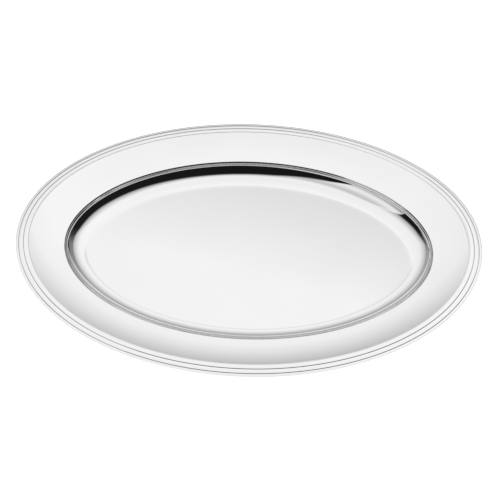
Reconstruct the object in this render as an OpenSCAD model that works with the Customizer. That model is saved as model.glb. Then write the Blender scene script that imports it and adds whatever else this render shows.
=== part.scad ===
// Oval serving salver in silver-plated nickel silver: a flat well, a curved wall with a reed
// pressed round its top, a wide dished flange and a three-thread border soldered to the edge.
// Origin: centre of the flat underside. +X is the long axis, +Z is up, millimetres.

/* [Overall size] */
// Length over the border
length = 450; // [430:5:480]
// Width over the border
width = 313; // [300:1:325]

/* [Sheet] */
// Thickness of the pressed sheet
sheet_t = 1.2; // [0.9:0.1:1.5]

/* [Well and wall] */
// Depth of the well, from the foot of the flange to its flat floor
well_depth = 12.6; // [12:0.2:14]
// Width of the hollow wall in plan, from the reed to the flat floor
wall_w = 19.05; // [18:0.05:20]

/* [Reed] */
// Width and fall of the step under the flange's foot
reed_step = [0.75, 0.9]; // [0.4:0.05:1.2]
// Width and fall of the narrow ledge below the step
reed_ledge = [0.5, 0.3]; // [0.2:0.1:0.8]
// Width and fall of the reed's steep face
reed_face = [0.6, 1.4]; // [0.5:0.05:1.6]
// Width and fall of the ledge between the face and the wall
reed_foot = [0.9, 0.5]; // [0.3:0.1:1.2]

/* [Flange] */
// Width of the dished flange in plan, from the reed to the border
flange_w = 33.6; // [28:0.2:36]
// Rise of the flange from the reed to the border
flange_rise = 9.2; // [8:0.2:11]
// How far the flange's hollow lies under its own chord
flange_hollow = 1.07; // [0.3:0.01:1.4]
// How far the rim rises above level at its two ends, and falls below it at its two sides
saddle = 1.6; // [0:0.1:2]

/* [Border] */
// Width of the inner, middle and outer thread
thread_w = [4.9, 4.7, 3.0]; // [2:0.1:5]
// How far each thread stands proud of its own chord
thread_rise = [0.22, 0.22, 0.14]; // [0.1:0.02:0.4]
// Half the width and the depth of the grooves between the threads
groove = [0.34, 0.36]; // [0.2:0.02:0.4]
// Fall of the border towards the outer edge, in degrees
border_fall = 7.7; // [4:0.1:10]
// Thickness of the moulding over the sheet
border_t = 0.55; // [0.5:0.05:0.8]
// Height of the moulding's inner foot
border_foot = 0.2; // [0.2:0.05:0.5]
// Extra fall of the outer thread over the edge
edge_drop = 0.3; // [0.1:0.1:0.8]
// Thickness of the lip that closes over the sheet's cut edge
lip_t = 0.9; // [0.7:0.1:1.2]
// Radius of the half-round wire under the edge
wire_r = 1.5; // [1:0.1:1.8]
// Distance of the wire from the outer edge
wire_inset = 0.4; // [0.2:0.1:0.6]
// Leg of the solder fillets
fillet = 0.2; // [0.1:0.05:0.2]

/* [Hidden] */

// The plan is an ellipse. Every edge keeps the same distance from it all the way round,
// so a cross-section is carried round it square to the outer edge.
half_l = length / 2;
half_w = width / 2;
stations = 84;

// Unit vector in direction a
function unit(a) = [cos(a), sin(a)];

// Point of the plan that lies d inside the outer edge, where the edge faces in direction a
function plan(a, d) = let (reach = norm([half_l * cos(a), half_w * sin(a)]))
    [half_l * half_l * cos(a), half_w * half_w * sin(a)] / reach - d * unit(a);

// Points along an arc of radius r about c
function arc(c, r, from, to, n) = [for (k = [0 : n]) c + r * unit(from + (to - from) * k / n)];

// Points along the arc from p to q that stands proud of its chord by rise, on the left of p to q
function bow(p, q, rise, n) = let (
    chord = norm(q - p),
    left = [p.y - q.y, q.x - p.x] / chord,
    r = (chord * chord / 4 + rise * rise) / 2 / rise,
    half = asin(chord / 2 / r),
    face = atan2(left.y, left.x))
    arc((p + q) / 2 - (r - rise) * left, r, face + half, face - half, n);

// Corners of the cross-section: x is 0 at the outer edge and negative inwards, y is the height.
border_w = thread_w[0] + thread_w[1] + thread_w[2];
wall_top = [-border_w - flange_w, sheet_t + well_depth];
reed_in = wall_top - reed_step;
reed_nose = reed_in - reed_ledge;
reed_base = reed_nose - reed_face;
wall_start = reed_base - reed_foot;
wall_drop = wall_start.y - sheet_t;
wall_slope = 2 * atan(wall_drop / wall_w);
wall_r = wall_w / sin(wall_slope);
wall_c = [wall_start.x - wall_w, sheet_t + wall_r];
wall_end = wall_slope - 90;
flange_top = wall_top + [flange_w, flange_rise];
flange_chord = atan2(flange_rise, flange_w);
flange_turn = 2 * atan(2 * flange_hollow / norm([flange_w, flange_rise]));
fall = [cos(border_fall), -sin(border_fall)];
sheet_edge = flange_top + (border_w - lip_t) / fall.x * fall;
sheet_under = sheet_edge - [0, sheet_t / fall.x];
lip_under = sheet_under + lip_t / fall.x * fall;

// Upper curve of the flange, from the wall to the border
flange_curve = bow(wall_top, flange_top, -flange_hollow, 6);

// Upper side of the sheet, from the floor to the edge
upper = concat(
    arc(wall_c, wall_r, -90, wall_end, 8),
    [reed_base, reed_nose, reed_in],
    flange_curve,
    [sheet_edge]);

// Under side of the sheet, from the edge to the floor
under = let (
    crest = flange_top + sheet_t * unit((flange_chord + flange_turn - border_fall) / 2 - 90),
    knee = wall_top + sheet_t * unit(flange_chord - flange_turn - 90),
    out = sheet_t * unit(-40))
    concat(
        [sheet_under],
        bow(crest, knee, flange_hollow, 6),
        [reed_in + out, reed_base + out],
        arc(wall_c, wall_r + sheet_t, wall_end, -90, 7));

// Threads of the border, from the inner foot to the lip, with a groove after the first and second
threads = let (
    a = flange_top + [0, border_t] + thread_w[0] / fall.x * fall,
    b = a + thread_w[1] / fall.x * fall,
    edge = b + thread_w[2] / fall.x * fall - [0, edge_drop],
    half = groove[0] * fall,
    depth = [0, groove[1]])
    concat(
        bow(flange_top + [0, border_foot], a - half, thread_rise[0], 3),
        [a - depth],
        bow(a + half, b - half, thread_rise[1], 3),
        [b - depth],
        bow(b + half, edge, thread_rise[2], 3));

// Height that the saddle adds to a point x of the cross-section where the edge faces direction a
function lift(a, x) = saddle * cos(2 * a) * min(1, max(0, (x - wall_top.x) / flange_w));

// Carries a clockwise cross-section round the plan. A disc is closed by a flat cap over its first
// point and another under its last one; a ring closes on itself.
module carry_round(section, disc = false) {
    n = len(section);
    rings = disc ? n - 2 : n - 1;
    points = [for (i = [0 : stations - 1])
        let (a = 360 * i / stations)
            for (p = section) concat(plan(a, -p.x), p.y + lift(a, p.x))];
    sides = [for (i = [0 : stations - 1])
        for (j = [0 : rings])
            let (
                here = i * n,
                next = (i + 1) % stations * n,
                k = (j + 1) % n)
            each [[here + j, next + k, here + k], [here + j, next + j, next + k]]];
    caps = [
        [for (i = [stations - 1 : -1 : 0]) i * n],
        [for (i = [0 : stations - 1]) i * n + n - 1]
    ];
    polyhedron(points, disc ? concat(sides, caps) : sides);
}

// Well, wall and flange, pressed from one sheet
module dish_body() {
    color("#d9dcdf") carry_round(concat(upper, under), disc = true);
}

// Drawn three-thread moulding, rebated over the sheet's cut edge
module border_moulding() {
    color("#e6e8ea") carry_round(concat(threads, [lip_under, sheet_under, sheet_edge, flange_top]));
}

// Fillet of solder along the moulding's inner foot
module moulding_solder() {
    inwards = flange_curve[len(flange_curve) - 2] - flange_top;
    color("#c9ccd0") carry_round([
        flange_top,
        flange_top + fillet * inwards / norm(inwards),
        flange_top + [0, fillet]
    ]);
}

// Half-round wire soldered under the edge, which stiffens it and covers the joint
wire_c = lip_under - (wire_inset + wire_r) * fall;
wire_arc = arc(wire_c, wire_r, -border_fall, -border_fall - 180, 6);
module rim_wire() {
    color("#d0d3d7") carry_round(wire_arc);
}

// Fillet of solder between the wire and the sheet
module wire_solder() {
    foot = wire_arc[6];
    along = wire_arc[5] - foot;
    color("#bfc2c6") carry_round([foot, foot + fillet * along / norm(along), foot - fillet * fall]);
}

dish_body();
border_moulding();
moulding_solder();
rim_wire();
wire_solder();
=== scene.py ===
import math

import bmesh
import bpy
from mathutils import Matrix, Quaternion, Vector


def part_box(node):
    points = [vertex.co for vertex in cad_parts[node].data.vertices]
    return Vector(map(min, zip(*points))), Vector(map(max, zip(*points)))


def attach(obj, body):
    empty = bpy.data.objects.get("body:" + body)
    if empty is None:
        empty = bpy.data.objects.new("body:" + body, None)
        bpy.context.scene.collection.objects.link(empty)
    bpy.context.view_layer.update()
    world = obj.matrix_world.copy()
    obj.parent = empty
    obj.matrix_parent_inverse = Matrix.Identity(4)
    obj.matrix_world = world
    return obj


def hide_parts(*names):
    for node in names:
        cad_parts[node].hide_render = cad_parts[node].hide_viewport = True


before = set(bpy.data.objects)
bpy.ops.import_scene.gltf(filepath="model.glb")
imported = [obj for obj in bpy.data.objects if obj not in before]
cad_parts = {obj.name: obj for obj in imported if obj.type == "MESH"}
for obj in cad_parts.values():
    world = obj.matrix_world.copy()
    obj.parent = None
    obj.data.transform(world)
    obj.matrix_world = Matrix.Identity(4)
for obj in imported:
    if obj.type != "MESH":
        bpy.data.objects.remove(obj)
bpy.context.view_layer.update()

# ---------------------------------------------------------------------------------------- Dish body
# The well, its hollow wall with the reed and the wide flange are one pressing from a sheet of nickel
# silver, 1.2 mm thick. It is stamped cold over a steel die, silver plated and buffed to a mirror.
# The pressing relaxes a little as it leaves the die, so the rim's two ends stand above its sides.
MM = 0.001
edge_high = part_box("border_moulding")[1]
sheet_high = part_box("dish_body")[1]
half_length = edge_high.x / MM
half_width = edge_high.y / MM

SHEET = 1.2
BORDER_W = 12.6
FLANGE_W = 33.6
FLANGE_RISE = 9.2
FLANGE_HOLLOW = 1.07
SADDLE = 1.6
WELL_DEPTH = 12.6
WALL_W = 19.05
# Width and fall of the reed's parts, from the wall outwards: ledge, steep face, ledge, step.
REED = [(0.9, 0.5), (0.6, 1.4), (0.5, 0.3), (0.75, 0.9)]
FALL = math.radians(7.7)
LIP = 0.9
# The way the reed's back is set off from its face, in degrees.
REED_BACK = -40
STATIONS = 480
WALL_STEPS = 26
FLANGE_STEPS = 24
UNDER_STEPS = 20
UPPER_EASE = 0.3
UNDER_EASE = 0.6
CREASE_REACH = 0.2
RIDGE_REACH = 0.5
FLOOR_RINGS = [0.02, 0.2, 0.4, 0.6, 0.8, 1.0]
FLOOR_EDGE = 4


def point(x, z):
    """A point of a cross-section in mm: x is 0 at the outer edge and negative inwards."""
    return Vector((x, z))


def unit(degrees):
    """The unit vector that points this way in a cross-section."""
    return Vector((math.cos(math.radians(degrees)), math.sin(math.radians(degrees))))


def arc(centre, radius, start, end, steps):
    """Points along an arc, from one direction to another."""
    return [centre + radius * unit(start + (end - start) * k / steps) for k in range(steps + 1)]


def bow(a, b, rise, steps):
    """Points along the arc from a to b that stands proud of its chord by rise, on the left."""
    chord = (b - a).length
    left = Vector((a.y - b.y, b.x - a.x)) / chord
    radius = (chord * chord / 4 + rise * rise) / 2 / rise
    half = math.degrees(math.asin(chord / 2 / radius))
    face = math.degrees(math.atan2(left.y, left.x))
    return arc((a + b) / 2 - (radius - rise) * left, radius, face + half, face - half, steps)


def eased(points, radius, steps=4):
    """The same line with every corner sharper than 12 degrees rounded to a small radius. A rounding
    takes less than half of either line that meets in the corner."""
    least_turn = math.radians(12)
    most = 0.45
    out = [points[0]]
    for before, corner, after in zip(points, points[1:], points[2:]):
        back = before - corner
        ahead = after - corner
        turn = math.pi - back.angle(ahead)
        if turn < least_turn:
            out.append(corner)
            continue
        reach = radius * math.tan(turn / 2)
        reach = min(reach, most * back.length, most * ahead.length)
        start = corner + back.normalized() * reach
        end = corner + ahead.normalized() * reach
        for k in range(steps + 1):
            t = k / steps
            out.append(start * (1 - t) ** 2 + corner * (2 * t * (1 - t)) + end * t * t)
    out.append(points[-1])
    return out


def near(points, corners, reach):
    """How close each point lies to a corner: 1 at it, falling to 0 at reach from it."""
    return [max(0, max(1 - (p - corner).length / reach for corner in corners)) for p in points]


def plan(angle, inset):
    """The point of the oval plan that lies inset inside its edge, where the edge faces angle."""
    c, s = math.cos(angle), math.sin(angle)
    reach = math.hypot(half_length * c, half_width * s)
    return (half_length ** 2 * c / reach - inset * c, half_width ** 2 * s / reach - inset * s)


def ring_at(p):
    """The ring that a point of the cross-section sweeps round the plan, with the rim's saddle."""
    angles = [math.tau * k / STATIONS for k in range(STATIONS)]
    share = min(1, max(0, (p.x - wall_top.x) / FLANGE_W))
    return [(*plan(a, -p.x), p.y + SADDLE * share * math.cos(2 * a)) for a in angles]


def loft(name, rings, closed=True, creases=(), ridges=()):
    """A mesh through rings of points in mm. Closed joins the last ring to the first; otherwise the
    two end rings are capped. Creases and ridges store how near each ring is to such a corner."""
    mesh = bmesh.new()
    layers = {"crease": creases, "ridge": ridges}
    stores = {key: mesh.verts.layers.float.new(key) for key in layers}
    made = [[mesh.verts.new(Vector(p) * MM) for p in ring] for ring in rings]
    for key, shares in layers.items():
        for ring, share in zip(made, shares):
            for vertex in ring:
                vertex[stores[key]] = share
    pairs = list(zip(made, made[1:]))
    if closed:
        pairs.append((made[-1], made[0]))
    for inner, outer in pairs:
        for k in range(STATIONS):
            n = (k + 1) % STATIONS
            mesh.faces.new((inner[k], outer[k], outer[n], inner[n]))
    if not closed:
        mesh.faces.new(list(reversed(made[-1])))
        mesh.faces.new(made[0])
    bmesh.ops.recalc_face_normals(mesh, faces=mesh.faces)
    for face in mesh.faces:
        face.smooth = True
    data = bpy.data.meshes.new(name)
    mesh.to_mesh(data)
    mesh.free()
    piece = bpy.data.objects.new(name, data)
    bpy.context.scene.collection.objects.link(piece)
    return piece


flange_top = point(-BORDER_W, sheet_high.z / MM - SADDLE)
wall_top = flange_top - point(FLANGE_W, FLANGE_RISE)
reed = [wall_top]
for width, fall in reversed(REED):
    reed.append(reed[-1] - point(width, fall))
wall_start, reed_base, reed_nose, reed_in = reed[:0:-1]
wall_drop = WELL_DEPTH - (wall_top.y - wall_start.y)
wall_slope = 2 * math.degrees(math.atan2(wall_drop, WALL_W))
wall_r = WALL_W / math.sin(math.radians(wall_slope))
wall_centre = point(wall_start.x - WALL_W, wall_start.y - wall_drop + wall_r)
floor_z = wall_centre.y - wall_r

outwards = Vector((math.cos(FALL), -math.sin(FALL)))
sheet_edge = flange_top + (BORDER_W - LIP) / outwards.x * outwards
sheet_under = sheet_edge - point(0, SHEET / outwards.x)
flange_curve = bow(wall_top, flange_top, -FLANGE_HOLLOW, FLANGE_STEPS)
upper = eased(
    arc(wall_centre, wall_r, -90, wall_slope - 90, WALL_STEPS)[:-1]
    + [wall_start, reed_base, reed_nose, reed_in]
    + flange_curve
    + [sheet_edge],
    UPPER_EASE,
)

flange_turn = 2 * math.degrees(math.atan(2 * FLANGE_HOLLOW / math.hypot(FLANGE_W, FLANGE_RISE)))
flange_chord = math.degrees(math.atan2(FLANGE_RISE, FLANGE_W))
crest = flange_top + SHEET * unit((flange_chord + flange_turn - math.degrees(FALL)) / 2 - 90)
knee = wall_top + SHEET * unit(flange_chord - flange_turn - 90)
under = eased(
    [sheet_under]
    + bow(crest, knee, FLANGE_HOLLOW, UNDER_STEPS)
    + [reed_in + SHEET * unit(REED_BACK), reed_base + SHEET * unit(REED_BACK)]
    + arc(wall_centre, wall_r + SHEET, wall_slope - 90, -90, UNDER_STEPS),
    UNDER_EASE,
)


def floor_rings(z, scales):
    """Rings of the flat floor, which shrink to its middle."""
    edge = [plan(math.tau * k / STATIONS, FLOOR_EDGE - wall_centre.x) for k in range(STATIONS)]
    return [[(x * s, y * s, z) for x, y in edge] for s in scales]


flat = [0] * len(FLOOR_RINGS)
dish = loft(
    "dish",
    floor_rings(floor_z, FLOOR_RINGS)
    + [ring_at(p) for p in upper + under]
    + floor_rings(floor_z - SHEET, FLOOR_RINGS[::-1]),
    closed=False,
    creases=flat + near(upper, [reed_in, reed_base], CREASE_REACH),
    ridges=flat + near(upper, [wall_top, reed_nose], RIDGE_REACH),
)


def node(tree, kind, inputs=None, **settings):
    """Adds a shader node. An input given a node or one of its outputs is linked, others are set."""
    made = tree.nodes.new("ShaderNode" + kind)
    for name, value in settings.items():
        setattr(made, name, value)
    for key, value in (inputs or {}).items():
        if isinstance(value, bpy.types.Node):
            value = value.outputs[0]
        if isinstance(value, bpy.types.NodeSocket):
            tree.links.new(value, made.inputs[key])
        else:
            made.inputs[key].default_value = value
    return made


def colour(hex_code):
    """An sRGB hex colour as the linear values that shaders use."""
    values = [int(hex_code[k:k + 2], 16) / 255 for k in (1, 3, 5)]
    return (*[v / 12.92 if v <= 0.04045 else ((v + 0.055) / 1.055) ** 2.4 for v in values], 1)


def grain(tree, size, stretch=(1, 1, 1), turn=0, detail=3):
    """Noise whose grains measure size in mm before they are stretched along x, y and z."""
    place = node(tree, "TexCoord").outputs["Object"]
    turned = node(tree, "Mapping", {"Vector": place, "Rotation": (0, 0, math.radians(turn))})
    scale = [1 / (size * MM * s) for s in stretch]
    sized = node(tree, "Mapping", {"Vector": turned, "Scale": scale})
    return node(tree, "TexNoise", {"Vector": sized, "Scale": 1, "Detail": detail})


# Silver plate that was buffed with rouge mirrors the room with hardly any blur. Smears of wiping cloud
# it a little. The creases are darkened to grey, partly for tarnish and partly as painted shade, and
# the plate is thinner, so yellower, on the ridges.
SMEAR = 55
RUB_PATCH = 9
# Real hairlines are some 0.03 mm wide, and are drawn ten times as coarse to show at all.
HAIRLINE = 0.3
CROSSED_HAIRLINE = 0.35
BUFFING = 0.12


def silver_plate(name, clean, tarnish_and_shade_grey, smooth, worn, scratch_depth):
    """Polished plate: wiped haze, hairlines, tarnish and painted shade in the creases, and worn, yellower
    ridges.
    The side that faces down was only fine-buffed, so it is less smooth."""
    material = bpy.data.materials.new(name)
    material.use_nodes = True
    tree = material.node_tree
    crease = node(tree, "Attribute", attribute_name="crease").outputs["Fac"]
    ridge = node(tree, "Attribute", attribute_name="ridge").outputs["Fac"]
    smear = grain(tree, SMEAR, detail=4)
    haze = node(tree, "MapRange", {"Value": smear, "From Min": 0.42, "From Max": 0.68})
    patch = grain(tree, RUB_PATCH, detail=5)
    patch = node(tree, "MapRange", {"Value": patch, "From Min": 0.5, "From Max": 0.75})
    facing = node(tree, "SeparateXYZ", {0: node(tree, "NewGeometry").outputs["Normal"]})
    below = node(tree, "MapRange", {"Value": facing.outputs["Z"], "From Min": -0.1, "From Max": -0.5})

    wiped = grain(tree, HAIRLINE, (130, 1, 1), turn=24, detail=2)
    wiped = node(tree, "MapRange", {"Value": wiped, "From Min": 0.69, "From Max": 0.75})
    crossed = grain(tree, CROSSED_HAIRLINE, (90, 1, 1), turn=-52, detail=2)
    crossed = node(tree, "MapRange", {"Value": crossed, "From Min": 0.7, "From Max": 0.76})
    hairlines = node(tree, "Math", {0: wiped, 1: crossed}, operation="MAXIMUM")
    buffed = grain(tree, BUFFING, (220, 1, 1), turn=3, detail=2)
    lines = node(tree, "Math", {0: buffed, 1: below, 2: hairlines}, operation="MULTIPLY_ADD")

    clouded = node(tree, "Math", {0: haze, 1: 0.015}, operation="MULTIPLY")
    tint = node(tree, "MixRGB", {"Fac": clouded, "Color1": colour(clean), "Color2": colour(tarnish_and_shade_grey)})
    patch = node(tree, "MapRange", {"Value": patch, "To Min": 0.1, "To Max": 0.35})
    rubbed = node(tree, "Math", {0: ridge, 1: patch}, operation="MULTIPLY")
    tint = node(tree, "MixRGB", {"Fac": rubbed, "Color1": tint, "Color2": colour(worn)})
    # Painted shade: the creases are mixed 85% towards the dark grey, which stands for shade as well as a
    # little tarnish.
    tarnish_and_painted_shade = node(tree, "Math", {0: crease, 1: 0.85}, operation="MULTIPLY")
    tint = node(tree, "MixRGB", {"Fac": tarnish_and_painted_shade, "Color1": tint, "Color2": colour(tarnish_and_shade_grey)})
    rough = smooth
    for mark, share in ((haze, 0.012), (hairlines, 0.05), (crease, 0.25), (below, 0.09)):
        rough = node(tree, "Math", {0: mark, 1: share, 2: rough}, operation="MULTIPLY_ADD")
    bump = node(tree, "Bump", {"Strength": 0.06, "Distance": scratch_depth * MM, "Height": lines})

    shader = tree.nodes["Principled BSDF"]
    shader.inputs["Metallic"].default_value = 1
    tree.links.new(tint.outputs[0], shader.inputs["Base Color"])
    tree.links.new(rough.outputs[0], shader.inputs["Roughness"])
    tree.links.new(bump.outputs[0], shader.inputs["Normal"])
    return material


mirror = silver_plate(
    "silver plate, mirror polished",
    # The dark grey paints shade into the reed's creases, over a little tarnish.
    clean="#f9f8f9", tarnish_and_shade_grey="#52575a", smooth=0.025, worn="#efece6", scratch_depth=0.004,
)
dish.data.materials.append(mirror)
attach(dish, "root")
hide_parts("dish_body")

# ----------------------------------------------------------------------------------- Border moulding
# Three low threads with a fine groove between them, drawn in one strip of nickel silver through a
# shaped plate. The strip is bent to the oval, closed over the sheet's cut edge, soldered and plated.
THREAD_W = [4.9, 4.7, 3.0]
CROWN = [0.19, 0.19, 0.12]
BORDER_T = 0.55
BORDER_FOOT = 0.2
EDGE_DROP = 0.3
GROOVE_HALF = 0.34
GROOVE_DEPTH = 0.36
THREAD_STEPS = 12
THREAD_EASE = 0.12
THREAD_REACH = 0.4

first = flange_top + point(0, BORDER_T) + THREAD_W[0] / outwards.x * outwards
second = first + THREAD_W[1] / outwards.x * outwards
outer = second + THREAD_W[2] / outwards.x * outwards - point(0, EDGE_DROP)
lip_under = sheet_under + LIP / outwards.x * outwards
half = GROOVE_HALF * outwards
grooves = [first - point(0, GROOVE_DEPTH), second - point(0, GROOVE_DEPTH)]
section = (
    bow(flange_top + point(0, BORDER_FOOT), first - half, CROWN[0], THREAD_STEPS)
    + grooves[:1]
    + bow(first + half, second - half, CROWN[1], THREAD_STEPS)
    + grooves[1:]
    + bow(second + half, outer, CROWN[2], THREAD_STEPS)
    + [lip_under, sheet_under, sheet_edge, flange_top]
)
section = eased(section + section[:1], THREAD_EASE)[:-1]
moulding = loft(
    "border_threads",
    [ring_at(p) for p in section],
    creases=near(section, grooves, THREAD_REACH),
    ridges=near(section, [first - half, first + half, second - half, second + half], THREAD_REACH),
)
# Plate over drawn strip: as bright as the dish, but the die leaves it a trace rougher.
drawn = silver_plate(
    "silver plate, drawn threads",
    # The darker grey paints shade into the grooves between the threads, over a little tarnish.
    clean="#f8f8f8", tarnish_and_shade_grey="#474c50", smooth=0.03, worn="#efece6", scratch_depth=0.003,
)
moulding.data.materials.append(drawn)
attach(moulding, "root")
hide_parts("border_moulding")

# ------------------------------------------------------------------------- Solder along the moulding
# Silver solder run along the moulding's inner foot. It is drawn in by heat to a small hollow fillet,
# scraped and plated over, and shows as a fine line where the flange ends.
FILLET = 0.2


def fillet(corner, one, other, steps=5):
    """A fillet in a corner between two legs, its face hollowed towards the corner."""
    control = (2 * corner + one + other) / 4
    face = []
    for k in range(steps + 1):
        t = k / steps
        face.append(one * (1 - t) ** 2 + control * (2 * t * (1 - t)) + other * t * t)
    return [corner] + face


inwards = (flange_curve[-2] - flange_top).normalized()
bead = fillet(flange_top, flange_top + FILLET * inwards, flange_top + point(0, FILLET))
moulding_bead = loft("moulding_bead", [ring_at(p) for p in bead])

# Solder that was scraped and plated but hardly polished gives a soft, broken gleam.
FLUX_PATCH = 4
SCRAPE = 0.25
DENT = 0.02

solder = bpy.data.materials.new("silver solder, scraped")
solder.use_nodes = True
tree = solder.node_tree
flux = grain(tree, FLUX_PATCH, detail=4)
flux = node(tree, "MapRange", {"Value": flux, "From Min": 0.45, "From Max": 0.7, "To Max": 0.2})
tint = node(tree, "MixRGB", {"Fac": flux, "Color1": colour("#f2f2f1"), "Color2": colour("#bdbab2")})
scraped = grain(tree, SCRAPE, (8, 8, 1), detail=3)
gleam = {"Value": scraped, "From Min": 0.35, "From Max": 0.7, "To Min": 0.25, "To Max": 0.4}
rough = node(tree, "MapRange", gleam)
dents = node(tree, "Bump", {"Strength": 0.2, "Distance": DENT * MM, "Height": scraped})
shader = tree.nodes["Principled BSDF"]
shader.inputs["Metallic"].default_value = 1
tree.links.new(tint.outputs[0], shader.inputs["Base Color"])
tree.links.new(rough.outputs[0], shader.inputs["Roughness"])
tree.links.new(dents.outputs[0], shader.inputs["Normal"])
moulding_bead.data.materials.append(solder)
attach(moulding_bead, "root")
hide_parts("moulding_solder")

# ------------------------------------------------------------------------------------------ Rim wire
# Half-round nickel silver wire, bent to the oval and soldered flat side up under the edge. It
# stiffens the rim, covers the joint of the moulding and gives the fingers a rounded edge.
WIRE_R = 1.48
WIRE_ROOM = 1.9
WIRE_STEPS = 20

wire_centre = lip_under - WIRE_ROOM * outwards
wire = arc(wire_centre, WIRE_R, -math.degrees(FALL), -math.degrees(FALL) - 180, WIRE_STEPS)
rim_wire = loft("half_round_wire", [ring_at(p) for p in wire])
rim_wire.data.materials.append(drawn)
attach(rim_wire, "root")
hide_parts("rim_wire")

# ----------------------------------------------------------------------------- Solder along the wire
# The same solder, drawn by heat into the corner between the wire's inner side and the sheet's
# underside, and scraped so that no edge meets the fingers.
wire_foot = wire[-1]
along = (wire[-3] - wire_foot).normalized()
bead = fillet(wire_foot, wire_foot + FILLET * along, wire_foot - FILLET * outwards)
wire_bead = loft("wire_bead", [ring_at(p) for p in bead])
wire_bead.data.materials.append(solder)
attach(wire_bead, "root")
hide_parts("wire_solder")

# --------------------------------------------------------------------------------------------- Table
# A sweep of matt white paper on a light table, which glows through it a little and keeps it white.
# It lies a hair below the dish, so that the two don't share a plane.
SWEEP = 30
GAP = 0.2
FIBRE = 0.8
bpy.ops.mesh.primitive_plane_add(size=SWEEP, location=(0, 0, -GAP * MM))
table = bpy.context.object
table.name = "paper_sweep"
paper = bpy.data.materials.new("white paper sweep")
paper.use_nodes = True
tree = paper.node_tree
fibre = node(tree, "MapRange", {"Value": grain(tree, FIBRE, detail=2), "From Min": 0.3, "From Max": 0.7})
tint = node(tree, "MixRGB", {"Fac": fibre, "Color1": colour("#e6e6e6"), "Color2": colour("#e9e9e9")})
shader = tree.nodes["Principled BSDF"]
tree.links.new(tint.outputs[0], shader.inputs["Base Color"])
shader.inputs["Roughness"].default_value = 0.9
shader.inputs["Emission Color"].default_value = colour("#ffffff")
shader.inputs["Emission Strength"].default_value = 0.7
table.data.materials.append(paper)

# -------------------------------------------------------------------------------------------- Studio
# The dish mirrors the room, so the room is drawn by direction, all soft and neutral: a tent of white
# cloth, a dark room in front and on the right where the tent is open, and a white card at left front.
SILVER_GIVES = 0.93
OPENING = [
    (-180, 67), (-165, 64), (-156, 52), (-149, 44), (-134, 38), (-132, 6), (-108, 6), (-106, 37),
    (-100, 35), (-90, 29), (-80, 24), (-68, 10), (-30, 8), (0, 9), (20, 11), (40, 15), (50, 18), (60, 24),
    (70, 35), (80, 40), (90, 43), (100, 46), (110, 50), (120, 53), (135, 58), (150, 63), (165, 66),
    (180, 67),
]
ROOM = [
    (-180, 22), (-134, 22), (-132, 120), (-109, 120), (-108, 26), (-85, 26), (-72, 90), (-60, 160),
    (-20, 172), (10, 172), (30, 138), (50, 120), (62, 60), (72, 26), (180, 22),
]
CLOTH = [
    (-10, 0), (-5, 8), (-2.5, 45), (0, 105), (2.5, 150), (5, 178), (10, 200), (15, 213), (20, 226),
    (28, 241), (40, 245), (50, 245),
]
TABLE = [
    (-180, 20), (-150, 20), (-110, 12), (-80, 10), (-60, 0), (60, 0), (80, 2), (100, 6), (115, 14),
    (135, 19), (180, 20),
]
TABLE_GREY = 190
ROOF_GREY = 244
CARD = [
    (15, 120), (25, 190), (30, 225), (36, 243), (45, 228), (55, 204), (62, 198), (70, 206),
    (80, 222), (90, 236),
]
# The card's left side leans outwards: its place at 15 degrees up, and what it moves for a degree.
CARD_FOOT = 15
CARD_LEFT = -138
CARD_LEAN = 0.35
CARD_RIGHT = -107
# The top of a soft shadow on the tent's back, how softly it ends, and its share of the light.
SHADOW_TOP = 52
SHADOW_SOFT = 3.5
SHADOW_DEPTH = 0.2
SEAM_DEPTH = 0.075
BACKDROP = "#f3f3f3"
SOFT = "SMOOTHSTEP"

world = bpy.data.worlds.new("tent")
bpy.context.scene.world = world
world.use_nodes = True
sky = world.node_tree
sky.nodes.clear()
way = node(sky, "SeparateXYZ", {0: node(sky, "TexCoord").outputs["Generated"]})
east, north, height = way.outputs
rise = node(sky, "Math", {0: height}, operation="ARCSINE")
up = node(sky, "Math", {0: rise}, operation="DEGREES")
bearing = node(sky, "Math", {0: east, 1: north}, operation="ARCTAN2")
turn = node(sky, "Math", {0: bearing}, operation="DEGREES")


def grey(level):
    """A grey of 0 to 255, raised by what the silver takes away."""
    return [c / SILVER_GIVES for c in colour("#" + 3 * f"{level:02x}")[:3]] + [1]


def stepped(factor, stops, start, end):
    """A colour ramp over the range from start to end."""
    share = node(sky, "MapRange", {"Value": factor, "From Min": start, "From Max": end})
    made = node(sky, "ValToRGB", {"Fac": share})
    elements = made.color_ramp.elements
    while len(elements) < len(stops):
        elements.new(0.5)
    for element, (at, value) in zip(elements, stops):
        element.position = (at - start) / (end - start)
        element.color = value
    return made.outputs["Color"]


# Heights are stored in the ramps as hundredths, because a ramp holds nothing above 1.
edge = stepped(turn, [(at, [v / 100] * 3 + [1]) for at, v in OPENING], -180, 180)
over = node(sky, "Math", {0: edge, 1: -100, 2: up}, operation="MULTIPLY_ADD")
cloth = stepped(over, [(at, grey(v)) for at, v in CLOTH], -10, 50)
roof = node(sky, "MapRange", {"Value": up, "From Min": 66, "From Max": 78})
cloth = node(sky, "MixRGB", {"Fac": roof, "Color1": cloth, "Color2": grey(ROOF_GREY)})
room = stepped(turn, [(at, grey(v)) for at, v in ROOM], -180, 180)
tent = node(sky, "MixRGB", {"Fac": 1, "Color1": cloth, "Color2": room}, blend_type="LIGHTEN")

lit_edge = stepped(turn, [(at, [v / 100] * 3 + [1]) for at, v in TABLE], -180, 180)
low = node(sky, "Math", {0: lit_edge, 1: -100, 2: up}, operation="MULTIPLY_ADD")
low = node(sky, "MapRange", {"Value": low, "From Min": 2, "From Max": -3})
glow = {"Fac": 1, "Color1": tent, "Color2": grey(TABLE_GREY)}
glow = node(sky, "MixRGB", glow, blend_type="LIGHTEN")
tent = node(sky, "MixRGB", {"Fac": low, "Color1": tent, "Color2": glow})

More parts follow.
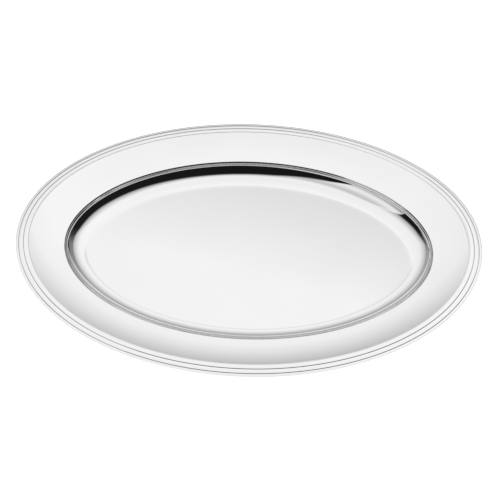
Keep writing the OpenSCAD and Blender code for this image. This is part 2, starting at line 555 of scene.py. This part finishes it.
card = stepped(up, [(at, grey(v)) for at, v in CARD], 0, 90)
leant = node(sky, "Math", {0: up, 1: CARD_FOOT}, operation="SUBTRACT")
left = node(sky, "Math", {0: leant, 1: -CARD_LEAN, 2: CARD_LEFT}, operation="MULTIPLY_ADD")
inside = node(sky, "Math", {0: turn, 1: left}, operation="SUBTRACT")
held = node(sky, "Math", {0: inside, 1: 2}, operation="DIVIDE", use_clamp=True)
for along, start, end in ((turn, CARD_RIGHT, CARD_RIGHT - 2), (up, 70, 60), (up, 6, 14)):
    share = node(sky, "MapRange", {"Value": along, "From Min": start, "From Max": end})
    held = node(sky, "Math", {0: held, 1: share}, operation="MULTIPLY")
tent = node(sky, "MixRGB", {"Fac": held, "Color1": tent, "Color2": card})

# The shadow reaches higher up the cloth on the right, and stops at its left, right and lower ends.
drop = node(sky, "Math", {0: SHADOW_TOP, 1: up}, operation="SUBTRACT")
drop = node(sky, "Math", {0: drop, 1: SHADOW_SOFT}, operation="DIVIDE")
lean = {"Value": turn, "From Min": -14, "From Max": 6, "To Min": -0.5, "To Max": 0.5}
lean = node(sky, "MapRange", lean)
shade = node(sky, "Math", {0: drop, 1: lean}, operation="ADD", use_clamp=True)
for along, start, end, depth in ((up, 45.5, 48.6, 1), (turn, 7, 5, SHADOW_DEPTH), (turn, -20, -12, 1)):
    share = {"Value": along, "From Min": start, "From Max": end, "To Max": depth}
    share = node(sky, "MapRange", share, interpolation_type=SOFT)
    shade = node(sky, "Math", {0: shade, 1: share}, operation="MULTIPLY")

# The cloth hangs double at the seams on the left and in the roof, so less light comes through.
west = {"Value": east, "From Min": 0.4, "From Max": -0.8}
west = node(sky, "MapRange", west, interpolation_type=SOFT)
high = {"Value": up, "From Min": 60, "From Max": 90, "To Max": 0.6}
high = node(sky, "MapRange", high, interpolation_type=SOFT)
seams = node(sky, "Math", {0: west, 1: high}, operation="ADD")
seams = node(sky, "Math", {0: seams, 1: SEAM_DEPTH}, operation="MULTIPLY")
passed = node(sky, "Math", {0: 1, 1: shade}, operation="SUBTRACT")
passed = node(sky, "Math", {0: passed, 1: seams}, operation="SUBTRACT")
tent = node(sky, "MixRGB", {"Fac": 1, "Color1": tent, "Color2": passed}, blend_type="MULTIPLY")

seen = node(sky, "LightPath").outputs["Is Camera Ray"]
backdrop = node(sky, "MixRGB", {"Fac": seen, "Color1": tent, "Color2": colour(BACKDROP)})
lit = node(sky, "Background", {"Color": backdrop, "Strength": 1})
node(sky, "OutputWorld", {"Surface": lit})

# -------------------------------------------------------------------------------------------- Camera
# A long lens from the front, a little to the right, looking steeply down into the well. It aims at
# a point near the middle, just under the flange's top, and is rolled by under a degree.
AZIMUTH = math.radians(4.29)
ELEVATION = math.radians(50.89)
DISTANCE = 1.6
FOCAL = 119.38
SENSOR = 36
ROLL = math.radians(-0.773)
AIM = (0.00255, -0.01086)
AIM_DROP = 0.7
rim_level = (flange_top.y - AIM_DROP) * MM
flat_way = math.cos(ELEVATION)
towards = Vector((math.sin(AZIMUTH) * flat_way, -math.cos(AZIMUTH) * flat_way, math.sin(ELEVATION)))
eye = Vector((0, 0, rim_level)) + DISTANCE * towards
lens = bpy.data.cameras.new("long_lens")
lens.lens = FOCAL
lens.sensor_width = SENSOR
camera = bpy.data.objects.new("camera", lens)
bpy.context.scene.collection.objects.link(camera)
camera.location = eye
camera.rotation_mode = "QUATERNION"
level = (Vector((*AIM, rim_level)) - eye).to_track_quat("-Z", "Y")
camera.rotation_quaternion = level @ Quaternion((0, 0, 1), ROLL)
bpy.context.scene.camera = camera
bpy.context.scene.view_settings.view_transform = "Standard"

bpy.context.view_layer.update()
